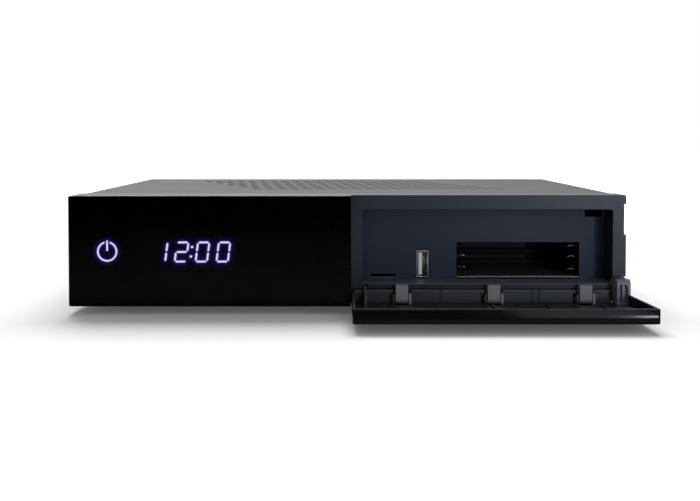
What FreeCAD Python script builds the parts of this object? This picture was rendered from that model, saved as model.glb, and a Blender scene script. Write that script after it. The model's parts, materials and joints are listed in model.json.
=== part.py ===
"""Satellite TV receiver with a drop-down flap over its service bay.

X runs to the receiver's right, Y to its back and Z up. The feet stand on Z = 0, and the origin is
the middle of the floor area that the receiver takes with its flap open. Lengths are in millimetres.
"""
import FreeCAD, Part
import math
import os
import Sketcher

V = FreeCAD.Vector
doc = FreeCAD.newDocument("Receiver")
sheet = doc.addObject("Spreadsheet::Sheet", "Dims")


class Size:
    """A length that carries both its value and the sheet formula that gives it."""

    def __init__(self, text, value):
        self.text = text
        self.value = value

    def join(self, sign, other, value, flip=False):
        text = other.text if isinstance(other, Size) else repr(float(other))
        left, right = (text, self.text) if flip else (self.text, text)
        return Size(f"({left} {sign} {right})", value)

    def __add__(self, other):
        return self.join("+", other, self.value + num(other))

    def __radd__(self, other):
        return self.join("+", other, self.value + num(other), True)

    def __sub__(self, other):
        return self.join("-", other, self.value - num(other))

    def __rsub__(self, other):
        return self.join("-", other, num(other) - self.value, True)

    def __mul__(self, other):
        return self.join("*", other, self.value * num(other))

    def __rmul__(self, other):
        return self.join("*", other, self.value * num(other), True)

    def __truediv__(self, other):
        return self.join("/", other, self.value / num(other))

    def __neg__(self):
        return Size(f"(-1 * {self.text})", -self.value)


def num(a):
    """The plain number of a length."""
    return a.value if isinstance(a, Size) else float(a)


rows = []


def dim(name, value, what):
    """A driving dimension: one row of the sheet."""
    rows.append(name)
    n = len(rows)
    sheet.set(f"A{n}", what)
    sheet.set(f"B{n}", str(value))
    sheet.setAlias(f"B{n}", name)
    return Size(f"Dims.{name}", float(value))


case_w = dim("case_w", 270, "width of the case")
case_d = dim("case_d", 198, "front face to rear panel")
front_h = dim("front_h", 53.4, "height of the front")
foot_h = dim("foot_h", 4, "ground clearance under the front")
sheet_t = dim("sheet_t", 1.0, "thickness of the steel sheet")
shell_t = dim("shell_t", 2.0, "thickness of the bezel's walls")
window_w = dim("window_w", 135.9, "width of the display window")
window_t = dim("window_t", 3.0, "thickness of the display window")
bezel_d = dim("bezel_d", 22.5, "depth of the bezel's top band")
frame_d = dim("frame_d", 7.0, "setback of the bay's frame")
bay_d = dim("bay_d", 23.0, "setback of the bay panel")
bay_low = dim("bay_low", 10.2, "bottom of the bay opening above the front's lower edge")
frame_side = dim("frame_side", 6.5, "width of the frame's right bar")
flap_t = dim("flap_t", 6.8, "thickness of the flap")
skin_t = dim("skin_t", 1.5, "thickness of the flap's front")
hinge_back = dim("hinge_back", 4.2, "hinge axis behind the front face")
hinge_up = dim("hinge_up", 3.2, "hinge axis above the front's lower edge")
flap_turn = dim("flap_turn", 88.6, "degrees the flap has opened")
pin_r = dim("pin_r", 1.0, "radius of the hinge pins")
run_gap = dim("run_gap", 0.05, "radial running clearance of the pins")
board_up = dim("board_up", 8.0, "top of the main board above the front's lower edge")
board_t = dim("board_t", 1.6, "thickness of a circuit board")
can_h = dim("can_h", 15.0, "height of a tuner can")
jack_z = dim("jack_z", 9.0, "height of the round rear sockets over the main board")

half_w = case_w / 2
plug_reach = 11.0
shift_y = (front_h - hinge_up - hinge_back - plug_reach) / 2
front_y = shift_y - case_d / 2
rear_y = shift_y + case_d / 2
split_x = window_w - half_w
bay_x = split_x + 0.9
hook_pitch = (half_w - bay_x - 44.3) / 2
hook_x = [bay_x + 23.8 + k * hook_pitch for k in range(3)]
bay_l = bay_x + 4.6
bay_r = half_w - frame_side
bay_top = front_h - 7.0
recess = hinge_back + 5.8
usb_up = bay_low + 0.8
card_l = bay_x + 52.6
card_w = 61.6
card_sill = bay_low + 0.1
card_low = bay_low + 0.9
card_top = bay_low + 18.4
guide_z = [bay_low + up for up in (5.8, 11.2, 16.0)]


def D(depth):
    """Y at a depth behind the front face."""
    return front_y + depth


def H(height):
    """Z at a height above the front's lower edge."""
    return foot_h + height


def S(right):
    """X at a distance right of the bay's datum, just inside the flap's left edge."""
    return bay_x + right


def R(ahead):
    """Y at a distance in front of the rear panel's outer face."""
    return rear_y - ahead


def box(a0, b0, a1, b1):
    """A rectangle's corners."""
    return [(a0, b0), (a1, b0), (a1, b1), (a0, b1)]


def disc(a, b, r):
    """A circle as centre and radius."""
    return (a, b, r)


def slot(a, b, da, db, half):
    """A parallelogram whose long side runs by (da, db) about the centre (a, b)."""
    return [(a - da - half, b - db), (a - da + half, b - db),
            (a + da + half, b + db), (a + da - half, b + db)]


class Piece:
    """One sub-part: a body whose features are drawn on its own origin planes."""

    planes = {"x": "YZ_Plane", "y": "XZ_Plane", "z": "XY_Plane"}

    def __init__(self, label):
        self.body = doc.addObject("PartDesign::Body", label)
        self.body.Label = label
        self.body.AllowCompound = True
        self.count = 0
        self.made = []
        pieces.append(self.body)

    def name(self, kind):
        self.count += 1
        return f"{self.body.Name}_{kind}_{self.count}"

    def sketch(self, axis, at, outlines):
        """A sketch square to the axis at a coordinate, every corner held by two sheet formulas."""
        s = self.body.newObject("Sketcher::SketchObject", self.name("sketch"))
        role = self.planes[axis]
        s.AttachmentSupport = (next(f for f in self.body.Origin.OriginFeatures if f.Role == role), [""])
        s.MapMode = "FlatFace"
        bind(s, "AttachmentOffset.Base.z", -at if axis == "y" else at)
        shapes = []
        rules = []
        ties = []
        for line in outlines:
            if isinstance(line, tuple):
                circle(line, shapes, rules, ties)
            else:
                polygon(line, shapes, rules, ties)
        s.addGeometry(shapes, False)
        s.addConstraint(rules)
        for k, a in ties:
            s.setExpression(f"Constraints[{k}]", a.text)
        return s

    def add(self, axis, low, high, *outlines):
        """Fill the outlines from low to high along the axis."""
        pad = self.body.newObject("PartDesign::Pad", self.name("pad"))
        pad.Profile = self.sketch(axis, high if axis == "y" else low, outlines)
        bind(pad, "Length", high - low)
        self.done(pad)
        return self

    def cut(self, axis, low, high, *outlines):
        """Remove the outlines from low to high along the axis."""
        pocket = self.body.newObject("PartDesign::Pocket", self.name("cut"))
        pocket.Profile = self.sketch(axis, low if axis == "y" else high, outlines)
        bind(pocket, "Length", high - low)
        self.done(pocket)
        return self

    def round(self, r, pick):
        """Round the edges that pick chooses."""
        tip = self.body.Tip
        names = [f"Edge{k + 1}" for k, e in enumerate(tip.Shape.Edges) if pick(e)]
        fillet = self.body.newObject("PartDesign::Fillet", self.name("round"))
        fillet.Base = (tip, names)
        fillet.Radius = r
        self.done(fillet)
        return self

    def repeat(self, features, axis, pitch, count, axis2="x", pitch2=1.0, count2=1):
        """Copy the last few features along one or two axes."""
        copies = self.body.newObject("PartDesign::LinearPattern", self.name("row"))
        ends = {f.Role: f for f in self.body.Origin.OriginFeatures}
        copies.Originals = self.made[-features:]
        for tail, way, step, n in (("", axis, pitch, count), ("2", axis2, pitch2, count2)):
            if n > 1:
                setattr(copies, "Direction" + tail, (ends[f"{way.upper()}_Axis"], [""]))
                setattr(copies, "Occurrences" + tail, n)
                bind(copies, "Length" + tail, step * (n - 1))
        self.done(copies)
        return self

    def done(self, feature):
        self.made.append(feature)
        self.body.Tip = feature
        doc.recompute()
        if "Invalid" in feature.State or not feature.Shape.isValid():
            raise ValueError(f"{feature.Name} did not build: {feature.State}")

    def turn_with_flap(self):
        """Swing the piece from its closed place to the open flap's, about the hinge axis."""
        y0 = D(hinge_back)
        z0 = H(hinge_up)
        turn = math.radians(flap_turn.value)
        base = V(0, y0.value * (1 - math.cos(turn)) + z0.value * math.sin(turn),
                 z0.value * (1 - math.cos(turn)) - y0.value * math.sin(turn))
        self.body.Placement = FreeCAD.Placement(base, FreeCAD.Rotation(V(1, 0, 0), flap_turn.value))
        c = f"cos({flap_turn.text})"
        s = f"sin({flap_turn.text})"
        self.body.setExpression("Placement.Rotation.Angle", flap_turn.text)
        self.body.setExpression("Placement.Base.y", f"{y0.text} * (1 - {c}) + {z0.text} * {s}")
        self.body.setExpression("Placement.Base.z", f"{z0.text} * (1 - {c}) - {y0.text} * {s}")
        doc.recompute()
        return self


def bind(thing, prop, a):
    """Set a property from a length, tied to the sheet where the length is."""
    if isinstance(a, Size):
        thing.setExpression(prop, a.text)
    elif prop.startswith("AttachmentOffset"):
        thing.AttachmentOffset = FreeCAD.Placement(V(0, 0, a), FreeCAD.Rotation())
    else:
        setattr(thing, prop, a)


def hold(rules, ties, a, *rule):
    """Add a constraint on a length, tied to the sheet where the length is."""
    if isinstance(a, Size):
        ties.append((len(rules), a))
    rules.append(Sketcher.Constraint(*rule, num(a)))


def circle(line, shapes, rules, ties):
    a, b, r = line
    i = len(shapes)
    shapes.append(Part.Circle(V(num(a), num(b), 0), V(0, 0, 1), num(r)))
    hold(rules, ties, a, "DistanceX", -1, 1, i, 3)
    hold(rules, ties, b, "DistanceY", -1, 1, i, 3)
    hold(rules, ties, r, "Radius", i)


def polygon(line, shapes, rules, ties):
    corners = [V(num(a), num(b), 0) for a, b in line]
    first = len(shapes)
    for k, corner in enumerate(corners):
        shapes.append(Part.LineSegment(corner, corners[(k + 1) % len(corners)]))
    for k, (a, b) in enumerate(line):
        before = first + (k - 1) % len(corners)
        rules.append(Sketcher.Constraint("Coincident", before, 2, first + k, 1))
        hold(rules, ties, a, "DistanceX", -1, 1, first + k, 1)
        hold(rules, ties, b, "DistanceY", -1, 1, first + k, 1)


def along(axis, *tests):
    """Chooses straight edges along an axis that pass every (axis, value) test."""
    i = "xyz".index(axis)

    def pick(e):
        size = [e.BoundBox.XLength, e.BoundBox.YLength, e.BoundBox.ZLength]
        if size[i] < 0.5 or sum(size) - size[i] > 0.01:
            return False
        mid = e.BoundBox.Center
        return all(abs(mid["xyz".index(a)] - num(v)) < 0.02 for a, v in tests)

    return pick


def either(*picks):
    return lambda e: any(p(e) for p in picks)


pieces = []

# ---- The front: window, bezel and the bay behind the flap ----

standby_x = 18.1 - half_w
standby_z = 26.3
digit_x = 40.1 - half_w
digit_z = 21.0
digit_pitch = 10.1
clock_l = digit_x - 3.5
clock_r = digit_x + 42.0
eye_x = split_x - 22.0

window = Piece("display_window")
window.add("y", D(0), D(window_t), box(-half_w, H(0), split_x, H(front_h)))
window.round(1.0, either(*[along("y", ("x", -half_w), ("z", H(z))) for z in (0, front_h)]))
window.round(0.9, either(along("x", ("y", D(0))), along("z", ("y", D(0)), ("x", -half_w))))

bezel = Piece("front_bezel")
bezel.add("y", D(window_t), D(bezel_d), box(-half_w, H(0), half_w, H(front_h)))
bezel.cut("y", D(window_t - 0.5), D(frame_d), box(split_x, H(-1), half_w + 1, H(front_h + 1)))
bezel.cut("y", D(window_t + 2), D(bezel_d),
          box(-half_w + 2.6, H(shell_t), split_x - 1.4, H(front_h - shell_t)))
bezel.cut("y", D(frame_d + 2), D(bezel_d), box(S(0.6), H(shell_t), half_w - 2.6, H(front_h - shell_t)))
bezel.cut("y", D(frame_d - 1), D(recess), box(split_x, H(-1), half_w + 1, H(bay_low - 2.4)))
bezel.add("y", D(recess), D(recess + 1.6), box(split_x + 0.1, H(0), half_w - 2, H(bay_low - 1.5)))
bezel.add("y", D(frame_d + 1), D(bay_d),
          box(bay_l - 1.5, H(bay_low - 1.5), bay_r + 1.5, H(bay_top + 1.5)))
bezel.cut("y", D(frame_d - 1), D(bay_d + 1), box(bay_l, H(bay_low), bay_r, H(bay_top)))
bezel.round(1.3, either(*[along("y", ("x", x), ("z", H(z))) for x in (bay_l, bay_r)
                          for z in (bay_low, bay_top)]))
bezel.add("y", D(bezel_d - 1), D(bezel_d + 2), box(-half_w + 2.2, H(1.7), half_w - 2.2, H(front_h - 1.6)),
          box(-half_w + 4.1, H(3.3), half_w - 4.1, H(front_h - 3.2)))
bezel.cut("y", D(window_t - 1), D(window_t + 3), box(clock_l, H(15.5), clock_r, H(37)),
          disc(standby_x, H(standby_z), 6.6), disc(eye_x, H(standby_z), 3.4))
bezel.cut("x", half_w - 1, half_w + 1, box(D(frame_d - 1), H(front_h - 19.4), D(17), H(front_h - 4.4)))
bezel.add("x", half_w - 6.5, half_w - 2, box(D(frame_d + 1), H(1), D(17.2), H(16)))
bezel.cut("x", half_w - 6.8, half_w + 1, disc(D(hinge_back), H(hinge_up), 11.0))
bezel.cut("x", S(5.0), S(7.2), disc(D(hinge_back), H(hinge_up), 7.4))
bezel.add("y", D(hinge_back + hinge_up + 0.05), D(recess + 0.5),
          box(hook_x[0] - 2.9, H(0), hook_x[0] + 2.9, H(2.6)))
bezel.repeat(1, "x", hook_pitch, 3)
bezel.round(0.8, either(along("y", ("x", -half_w), ("z", H(front_h))),
                        along("y", ("x", half_w), ("z", H(front_h))),
                        along("y", ("x", -half_w), ("z", H(0)))))

bay = Piece("bay_panel")
usb_x = S(35.4)
bay.add("y", D(bay_d), D(bay_d + 1.5), box(bay_l - 1.5, H(bay_low - 1.5), bay_r + 1.5, H(bay_top + 1.5)))
bay.cut("y", D(bay_d - 1), D(bay_d + 2), box(usb_x - 3.3, H(usb_up - 0.3), usb_x + 3.3, H(usb_up + 13.7)))
bay.cut("y", D(bay_d - 1), D(bay_d + 2), box(card_l, H(card_sill), card_l + card_w, H(card_top)))
bay.cut("y", D(bay_d - 1), D(bay_d + 2), box(S(9.5), H(bay_low + 1.1), S(21.5), H(bay_low + 2.3)))
bay.cut("y", D(bay_d - 1), D(bay_d + 2), box(bay_r - 9.8, H(bay_top - 4.7), bay_r - 1.3, H(bay_top + 0.01)))
bay.round(0.8, either(*[along("y", ("x", x), ("z", H(z))) for x in (card_l, card_l + card_w)
                        for z in (card_sill, card_top)]))

hooks = Piece("hinge_hooks")
x = hook_x[0]
y0 = D(hinge_back)
z0 = H(hinge_up)
hooks.add("x", x - 3, x + 3, [(y0 - 2.4, z0), (y0 + 2.4, z0), (D(recess), z0 + 2.6),
                              (D(recess), H(bay_low - 2.4)), (D(frame_d), H(bay_low - 2.4)),
                              (D(frame_d), H(bay_low - 0.1)), (y0 - 2.4, H(bay_low - 0.1))])
hooks.add("x", x - 3, x + 3, disc(y0, z0, 2.4))
hooks.cut("x", x - 3.5, x + 3.5, disc(y0, z0, pin_r + run_gap))
hooks.cut("x", x - 3.5, x + 3.5, box(y0 - 0.75, z0 - 3, y0 + 0.75, z0))
hooks.repeat(4, "x", hook_pitch, 3)
hooks.round(0.7, along("x", ("y", y0 - 2.4), ("z", H(bay_low - 0.1))))

# ---- The flap, drawn closed and then swung open ----

flap_l = split_x + 0.3
flap_r = half_w
rail_d = hinge_back + 4.0
rib_pitch = (half_w - bay_x - 30) / 4

skin = Piece("flap_skin")
skin.add("y", D(0), D(flap_t), box(flap_l, H(0), flap_r, H(front_h)))
skin.round(1.2, either(*[along("y", ("x", x), ("z", H(front_h))) for x in (flap_l, flap_r)]))
skin.cut("y", D(skin_t), D(flap_t + 1), box(flap_l + 1.2, H(-1), flap_r - 1.2, H(front_h - 1.2)))
skin.round(0.7, either(along("x", ("y", D(0)), ("z", H(front_h)))))
skin.turn_with_flap()

liner = Piece("flap_liner")
liner.add("y", D(skin_t), D(skin_t + 0.6), box(flap_l + 1.2, H(0), flap_r - 1.2, H(front_h - 1.2)))
liner.add("y", D(skin_t), D(rail_d), box(flap_l + 1.2, H(0), flap_r - 7.2, H(1.6)))
x = hook_x[0]
liner.cut("y", D(skin_t - 1), D(rail_d + 1), box(x - 3.6, H(-1), x + 3.6, H(11)))
liner.add("x", x - 4.6, x - 3.3, box(D(skin_t), H(0), D(flap_t), H(hinge_up + 2.2)))
liner.cut("x", x - 4.7, x - 3.2, disc(D(hinge_back), H(hinge_up), pin_r))
liner.cut("y", D(skin_t - 1), D(rail_d + 1), box(x + 3.3, H(-1), x + 4.6, H(hinge_up + 2.2)))
liner.repeat(4, "x", hook_pitch, 3)
for x in (hook_x[0] + 19, hook_x[1] + 19, hook_x[1] + 22.7):
    liner.add("x", x - 0.3, x + 0.3, box(D(skin_t), H(0.5), D(rail_d), H(2.0)))
liner.add("x", S(5.5), S(6.7), [(D(skin_t), H(0)), (D(rail_d + 2.2), H(0)), (D(rail_d + 2.2), H(1.6)),
                               (D(flap_t), H(7.0)), (D(flap_t), H(12)), (D(skin_t), H(12))])
liner.add("y", D(skin_t), D(skin_t + 1.6), box(S(14), H(14), S(15), H(front_h - 4)))
liner.repeat(1, "x", rib_pitch, 5)
liner.turn_with_flap()

arm = Piece("flap_arm")
arm_d = hinge_back + 9.8
arm_front = 8.9
arm.add("x", flap_r - 6.5, flap_r - 1.2, [(D(skin_t + 0.6), H(0)), (D(arm_d), H(0)), (D(arm_d), H(7.4)),
                                         (D(arm_d - 1.6), H(arm_front)), (D(skin_t + 0.6), H(arm_front))])
arm.add("x", flap_r - 1.2, flap_r, [(D(flap_t), H(0)), (D(arm_d), H(0)), (D(arm_d), H(7.4)),
                                    (D(arm_d - 1.6), H(arm_front)), (D(flap_t), H(arm_front))])
arm.cut("x", flap_r - 5.6, flap_r - 1.3, box(D(skin_t + 1.4), H(6.7), D(arm_d - 2.2), H(arm_front + 1)))
arm.round(1.3, either(*[along("z", ("x", flap_r - x), ("y", D(arm_d - 2.2))) for x in (5.6, 1.3)]))
arm.add("x", flap_r - 3.9, flap_r - 3.1, box(D(skin_t + 1), H(6.5), D(arm_d - 2), H(arm_front - 0.5)))
arm.turn_with_flap()

pins = Piece("hinge_pins")
x = hook_x[0]
pins.add("x", x - 4.6, x + 3.4, disc(D(hinge_back), H(hinge_up), pin_r))
pins.add("x", x + 3.3, x + 4.6, box(D(skin_t), H(0), D(flap_t), H(hinge_up + 2.2)))
pins.repeat(2, "x", hook_pitch, 3)
pins.turn_with_flap()

keeper = Piece("flap_keeper")
keeper_x = S(14.5) + rib_pitch * 1.5
keeper.add("y", D(skin_t + 0.6), D(skin_t + 2.1),
           box(keeper_x - 8, H(front_h - 7), keeper_x + 8, H(front_h - 3)))
keeper.turn_with_flap()

magnet = Piece("flap_magnet")
magnet.add("y", D(frame_d + 2), D(frame_d + 5),
           box(keeper_x - 8, H(bay_top + 1.5), keeper_x + 8, H(front_h - shell_t)))

# ---- The steel case ----

front_wall = bezel_d + 2

pan = Piece("base_pan")
pan.add("z", H(0.4), H(0.4) + sheet_t, box(sheet_t - half_w + 1, D(bezel_d), half_w - sheet_t - 1, rear_y))
for x in (sheet_t - half_w + 1, half_w - 2 * sheet_t - 1):
    pan.add("x", x, x + sheet_t, box(D(front_wall), H(0.4), R(sheet_t), H(14)))
pan.add("y", D(front_wall), D(front_wall) + sheet_t,
        box(sheet_t - half_w + 1, H(0.4), half_w - sheet_t - 1, H(front_h - 2)))
pan.cut("y", D(front_wall - 1), D(front_wall + 3), box(clock_l, H(17), clock_r, H(29)),
        box(bay_l + 0.5, H(board_up - board_t - 0.3), bay_r - 0.5, H(34)),
        box(bay_r - 10.4, H(bay_top - 5.2), bay_r - 0.8, H(bay_top + 0.5)))
pan.cut("z", H(0), H(3), slot(-half_w + 40, front_y + case_d * 0.4, 2.5, 8, 1.3))
pan.repeat(1, "x", (case_w - 80) / 15, 16, "y", case_d * 0.22, 2)

rear = Piece("rear_panel")
rear.add("y", R(sheet_t), rear_y,
         box(2 * sheet_t - half_w, H(0.4) + sheet_t, half_w - 2 * sheet_t, H(front_h - 1.6)))
rear.add("z", H(front_h - 0.4) - 2 * sheet_t, H(front_h - 0.4) - sheet_t,
         box(10 - half_w, R(12), half_w - 10, R(sheet_t)))

screw_x = [10 - half_w, 0 * half_w, half_w - 10]
board_z = H(board_up)
socket_z = board_z + jack_z
f_x = [half_w - 22, half_w - 48]
lan_x = half_w - 78
usb_rear_x = half_w - 101
hdmi_x = half_w - 124
phono_x = [half_w - 148 - 14 * k for k in range(3)]
power_x = 17 - half_w
rocker_x = 38 - half_w
rocker_z = H(24)
rocker_half = 9.6
rocker_back = 3.0

rear.cut("y", R(3), rear_y + 1, disc(f_x[0], socket_z, 5.4), disc(f_x[1], socket_z, 5.4),
         *[disc(x, socket_z, 4.6) for x in phono_x],
         box(lan_x - 8.2, board_z - 0.3, lan_x + 8.2, board_z + 14),
         box(usb_rear_x - 7.0, board_z + 1.0, usb_rear_x + 7.0, board_z + 7.8),
         box(hdmi_x - 7.9, board_z + 0.7, hdmi_x + 7.9, board_z + 7.0),
         box(power_x - 4.8, board_z - 0.3, power_x + 4.8, board_z + 11.3),
         box(rocker_x - 6.9, rocker_z - 10.9, rocker_x + 6.9, rocker_z + 10.9))
rear.cut("y", R(3), rear_y + 1, slot(-half_w + 64, H(41), 0.5, 4, 1.2))
rear.repeat(1, "x", 7.0, 12)

cover = Piece("top_cover")
cover_front = bezel_d + 0.3
side = half_w - 1
under = H(front_h - 0.4) - sheet_t
cover.add("y", D(cover_front), rear_y,
          [(-side, H(0.4)), (sheet_t - side, H(0.4)), (sheet_t - side, under), (side - sheet_t, under),
           (side - sheet_t, H(0.4)), (side, H(0.4)), (side, H(front_h - 0.4)), (-side, H(front_h - 0.4))])
cover.round(0.9, either(along("y", ("x", 1 - half_w), ("z", H(front_h - 0.4))),
                        along("y", ("x", half_w - 1), ("z", H(front_h - 0.4)))))
cover.cut("z", H(front_h - 3), H(front_h),
          *[slot(-0.26 * case_w - row * 9.7, R(78) + row * 22, -3.0, 7.0, 1.2) for row in range(-2, 3)])
cover.repeat(1, "x", 0.026 * case_w, 20)

foot_x = half_w - 26
feet = Piece("rubber_feet")
for x in (-foot_x, foot_x):
    feet.add("z", 0 * foot_h, H(0.4), disc(x, D(44), 8), disc(x, R(30), 8))

screws = Piece("cover_screws")
for x in screw_x:
    screws.add("y", rear_y, rear_y + 1.8, disc(x, H(front_h - 7), 2.8))
    screws.add("y", R(6), rear_y, disc(x, H(front_h - 7), 1.5))
    rear.cut("y", R(3), rear_y + 1, disc(x, H(front_h - 7), 1.5))
    screws.cut("y", rear_y + 0.9, rear_y + 3, box(x - 1.9, H(front_h - 7.35), x + 1.9, H(front_h - 6.65)))
    screws.cut("y", rear_y + 0.9, rear_y + 3, box(x - 0.35, H(front_h - 8.9), x + 0.35, H(front_h - 5.1)))

# ---- Main board and what stands on it ----

board_l = 9 - half_w
board_r = half_w - 9
board_front = front_wall + 4
board = Piece("main_board")
hole_at = [(x, y) for x in (board_l + 6, S(-16), board_r - 6) for y in (D(board_front + 12), R(50))]
board.add("z", board_z - board_t, board_z, box(board_l, D(board_front), board_r, R(2.5)),
          *[disc(x, y, 1.6) for x, y in hole_at])

posts = Piece("board_standoffs")
posts.add("z", H(0.4) + sheet_t, board_z - board_t, *[disc(x, y, 3.0) for x, y in hole_at])
posts.cut("z", board_z - board_t - 3, board_z - board_t, *[disc(x, y, 1.3) for x, y in hole_at])

board_screws = Piece("board_screws")
board_screws.add("z", board_z, board_z + 1.6, *[disc(x, y, 2.7) for x, y in hole_at])
board_screws.add("z", board_z - board_t - 2.5, board_z, *[disc(x, y, 1.3) for x, y in hole_at])

chip_x = -case_w * 0.12
chip_y = R(79.2)
processor = Piece("processor")
processor.add("z", board_z, board_z + 2.2, box(chip_x - 13.5, chip_y - 13.5, chip_x + 13.5, chip_y + 13.5))

sink = Piece("heatsink")
sink.add("z", board_z + 2.2, board_z + 4.7, box(chip_x - 20, chip_y - 20, chip_x + 20, chip_y + 20))
sink.add("z", board_z + 4.5, board_z + 18, box(chip_x - 20, chip_y - 20, chip_x - 18.7, chip_y + 20))
sink.repeat(1, "x", 4.3, 10)

memory = Piece("memory_chips")
memory_x = [chip_x - 31 + 16 * k for k in range(4)]
memory.add("z", board_z, board_z + 1.2, *[box(x, chip_y - 38, x + 11, chip_y - 25) for x in memory_x])

chips = Piece("support_chips")
chip_at = [(33, -3, 10, 10), (36, 14, 12, 8), (-41, -2, 10, 16), (-41, 17, 6, 6), (32, -21, 8, 10)]
chips.add("z", board_z, board_z + 1.5,
          *[box(chip_x + x - w / 2, chip_y + y - d / 2, chip_x + x + w / 2, chip_y + y + d / 2)
            for x, y, w, d in chip_at])

caps = Piece("capacitors")
cap_at = [(power_x + x, R(y)) for x, y in ((8, 34), (8, 48), (20, 48), (20, 62), (8, 62))]
caps.add("z", board_z, board_z + 13, *[disc(x, y, 4.0) for x, y in cap_at])
caps.add("z", board_z, board_z + 7, *[disc(lan_x + 10 * k, R(52), 3.1) for k in range(-3, 3)])

coils = Piece("inductors")
coil_x = [power_x - 4 + 13 * k for k in range(3)]
coils.add("z", board_z, board_z + 5, *[box(x, R(84), x + 9, R(75)) for x in coil_x])

holder_x = chip_x - 52
cell_y = D(board_front + 30)
holder = Piece("cell_holder")
holder.add("z", board_z, board_z + 4.4, disc(holder_x, cell_y, 12.2))
holder.cut("z", board_z + 1, board_z + 5, disc(holder_x, cell_y, 10.3))
cell = Piece("clock_cell")
cell.add("z", board_z + 1, board_z + 4.2, disc(holder_x, cell_y, 10.0))

# ---- Rear sockets ----

cans = Piece("tuner_cans")
for x in f_x:
    cans.add("z", board_z, board_z + can_h, box(x - 11, R(44), x + 11, R(5)))
    cans.cut("z", board_z, board_z + can_h - 0.5, box(x - 10.5, R(43.5), x + 10.5, R(5.5)))
    cans.add("z", board_z, board_z + can_h - 0.3, box(x - 10.7, R(26), x + 10.7, R(25.4)))

f_barrels = Piece("f_sockets")
f_cores = Piece("f_socket_cores")
for x in f_x:
    f_barrels.add("y", R(5), rear_y + 1.5, disc(x, socket_z, 5.2))
    f_barrels.add("y", rear_y + 1.5, rear_y + plug_reach, disc(x, socket_z, 4.7))
    f_barrels.cut("y", R(6), rear_y + 12, disc(x, socket_z, 3.4))
    f_cores.add("y", R(5), rear_y + 10.4, disc(x, socket_z, 3.4), disc(x, socket_z, 0.7))

lan = Piece("network_jack")
lan.add("y", R(20), rear_y + 0.8, box(lan_x - 7.9, board_z, lan_x + 7.9, board_z + 13.6))
lan.cut("y", R(13), rear_y + 2, box(lan_x - 5.9, board_z + 3.2, lan_x + 5.9, board_z + 10.6))
lan.cut("y", R(13), rear_y + 2, box(lan_x - 3.0, board_z + 10.5, lan_x + 3.0, board_z + 12.2))
lan_pins = Piece("network_contacts")
lan_pins.add("y", R(13), R(3), box(lan_x - 4.2, board_z + 3.2, lan_x - 3.7, board_z + 3.7))
lan_pins.repeat(1, "x", 1.1, 8)


def usb_socket(name, x, axis_up, low, back, front, wall):
    """A USB shell, its tongue and contacts: upright (axis_up) or lying flat, from back to front in Y."""
    shell = Piece(name + "_shell")
    tongue = Piece(name + "_tongue")
    leads = Piece(name + "_contacts")
    lo, hi = (front, back) if wall < 0 else (back, front)

    def at(u0, v0, u1, v1):
        if axis_up:
            return box(x + v0, low + u0, x + v1, low + u1)
        return box(x + u0 - 6.7, low + v0 + 3, x + u1 - 6.7, low + v1 + 3)

    shell.add("y", lo, hi, at(0, -3.0, 13.4, 3.0))
    if wall > 0:
        shell.cut("y", lo + 1, hi + 1, at(0.45, -2.55, 12.95, 2.55))
        tongue.add("y", lo + 1, hi - 0.8, at(1.15, -1.95, 12.25, -0.15))
        leads.add("y", lo + 1, hi - 2.0, *[at(2.3 + 2.4 * k, -0.15, 3.5 + 2.4 * k, 0.15) for k in range(4)])
    else:
        shell.cut("y", lo - 1, hi - 1, at(0.45, -2.55, 12.95, 2.55))
        tongue.add("y", lo + 0.8, hi - 1, at(1.15, -1.95, 12.25, -0.15))
        leads.add("y", lo + 2.0, hi - 1, *[at(2.3 + 2.4 * k, -0.15, 3.5 + 2.4 * k, 0.15) for k in range(4)])


usb_socket("rear_usb", usb_rear_x, False, board_z + 1.4, R(13.5), rear_y + 0.8, 1)


def hdmi_outline(wide, narrow, high, corner, low):
    """The flat-bottomed D of a video socket: wide above, narrow below."""
    right = [(narrow, low), (wide, corner), (wide, high)]
    left = [(-x, z) for x, z in reversed(right)]
    return [(hdmi_x + x, board_z + z) for x, z in left + right]


hdmi = Piece("hdmi_socket")
hdmi.add("y", R(11), rear_y + 0.6, hdmi_outline(7.5, 5.6, 6.5, 3.2, 1))
hdmi.cut("y", R(10), rear_y + 2, hdmi_outline(7, 5.3, 6, 3.4, 1.5))
hdmi.add("y", R(10.5), R(0.8), box(hdmi_x - 5.4, board_z + 3.4, hdmi_x + 5.4, board_z + 4.4))
hdmi.add("z", board_z, board_z + 1.2, box(hdmi_x - 5, R(10.5), hdmi_x + 5, R(2)))

phono = Piece("phono_block")
phono_b = Piece("phono_sockets")
phono.add("y", R(12), R(1.3), box(phono_x[2] - 6.5, board_z, phono_x[0] + 6.5, socket_z + 6))
phono.cut("y", R(11), R(1), *[disc(x, socket_z, 4.15) for x in phono_x])
phono_b.add("y", R(11), rear_y + 9, *[disc(x, socket_z, 4.15) for x in phono_x])
phono_b.add("y", R(1.3), rear_y + 1, *[disc(x, socket_z, 4.4) for x in phono_x])
phono_b.cut("y", R(10), rear_y + 10, *[disc(x, socket_z, 1.65) for x in phono_x])

power = Piece("power_jack")
power.add("y", R(14), rear_y + 0.6, box(power_x - 4.5, board_z, power_x + 4.5, board_z + 11))
power.cut("y", R(9), rear_y + 2, disc(power_x, board_z + 6.5, 3.15))
power_pin = Piece("power_jack_pin")
power_pin.add("y", R(9), R(1), disc(power_x, board_z + 6.5, 1.05))

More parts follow.
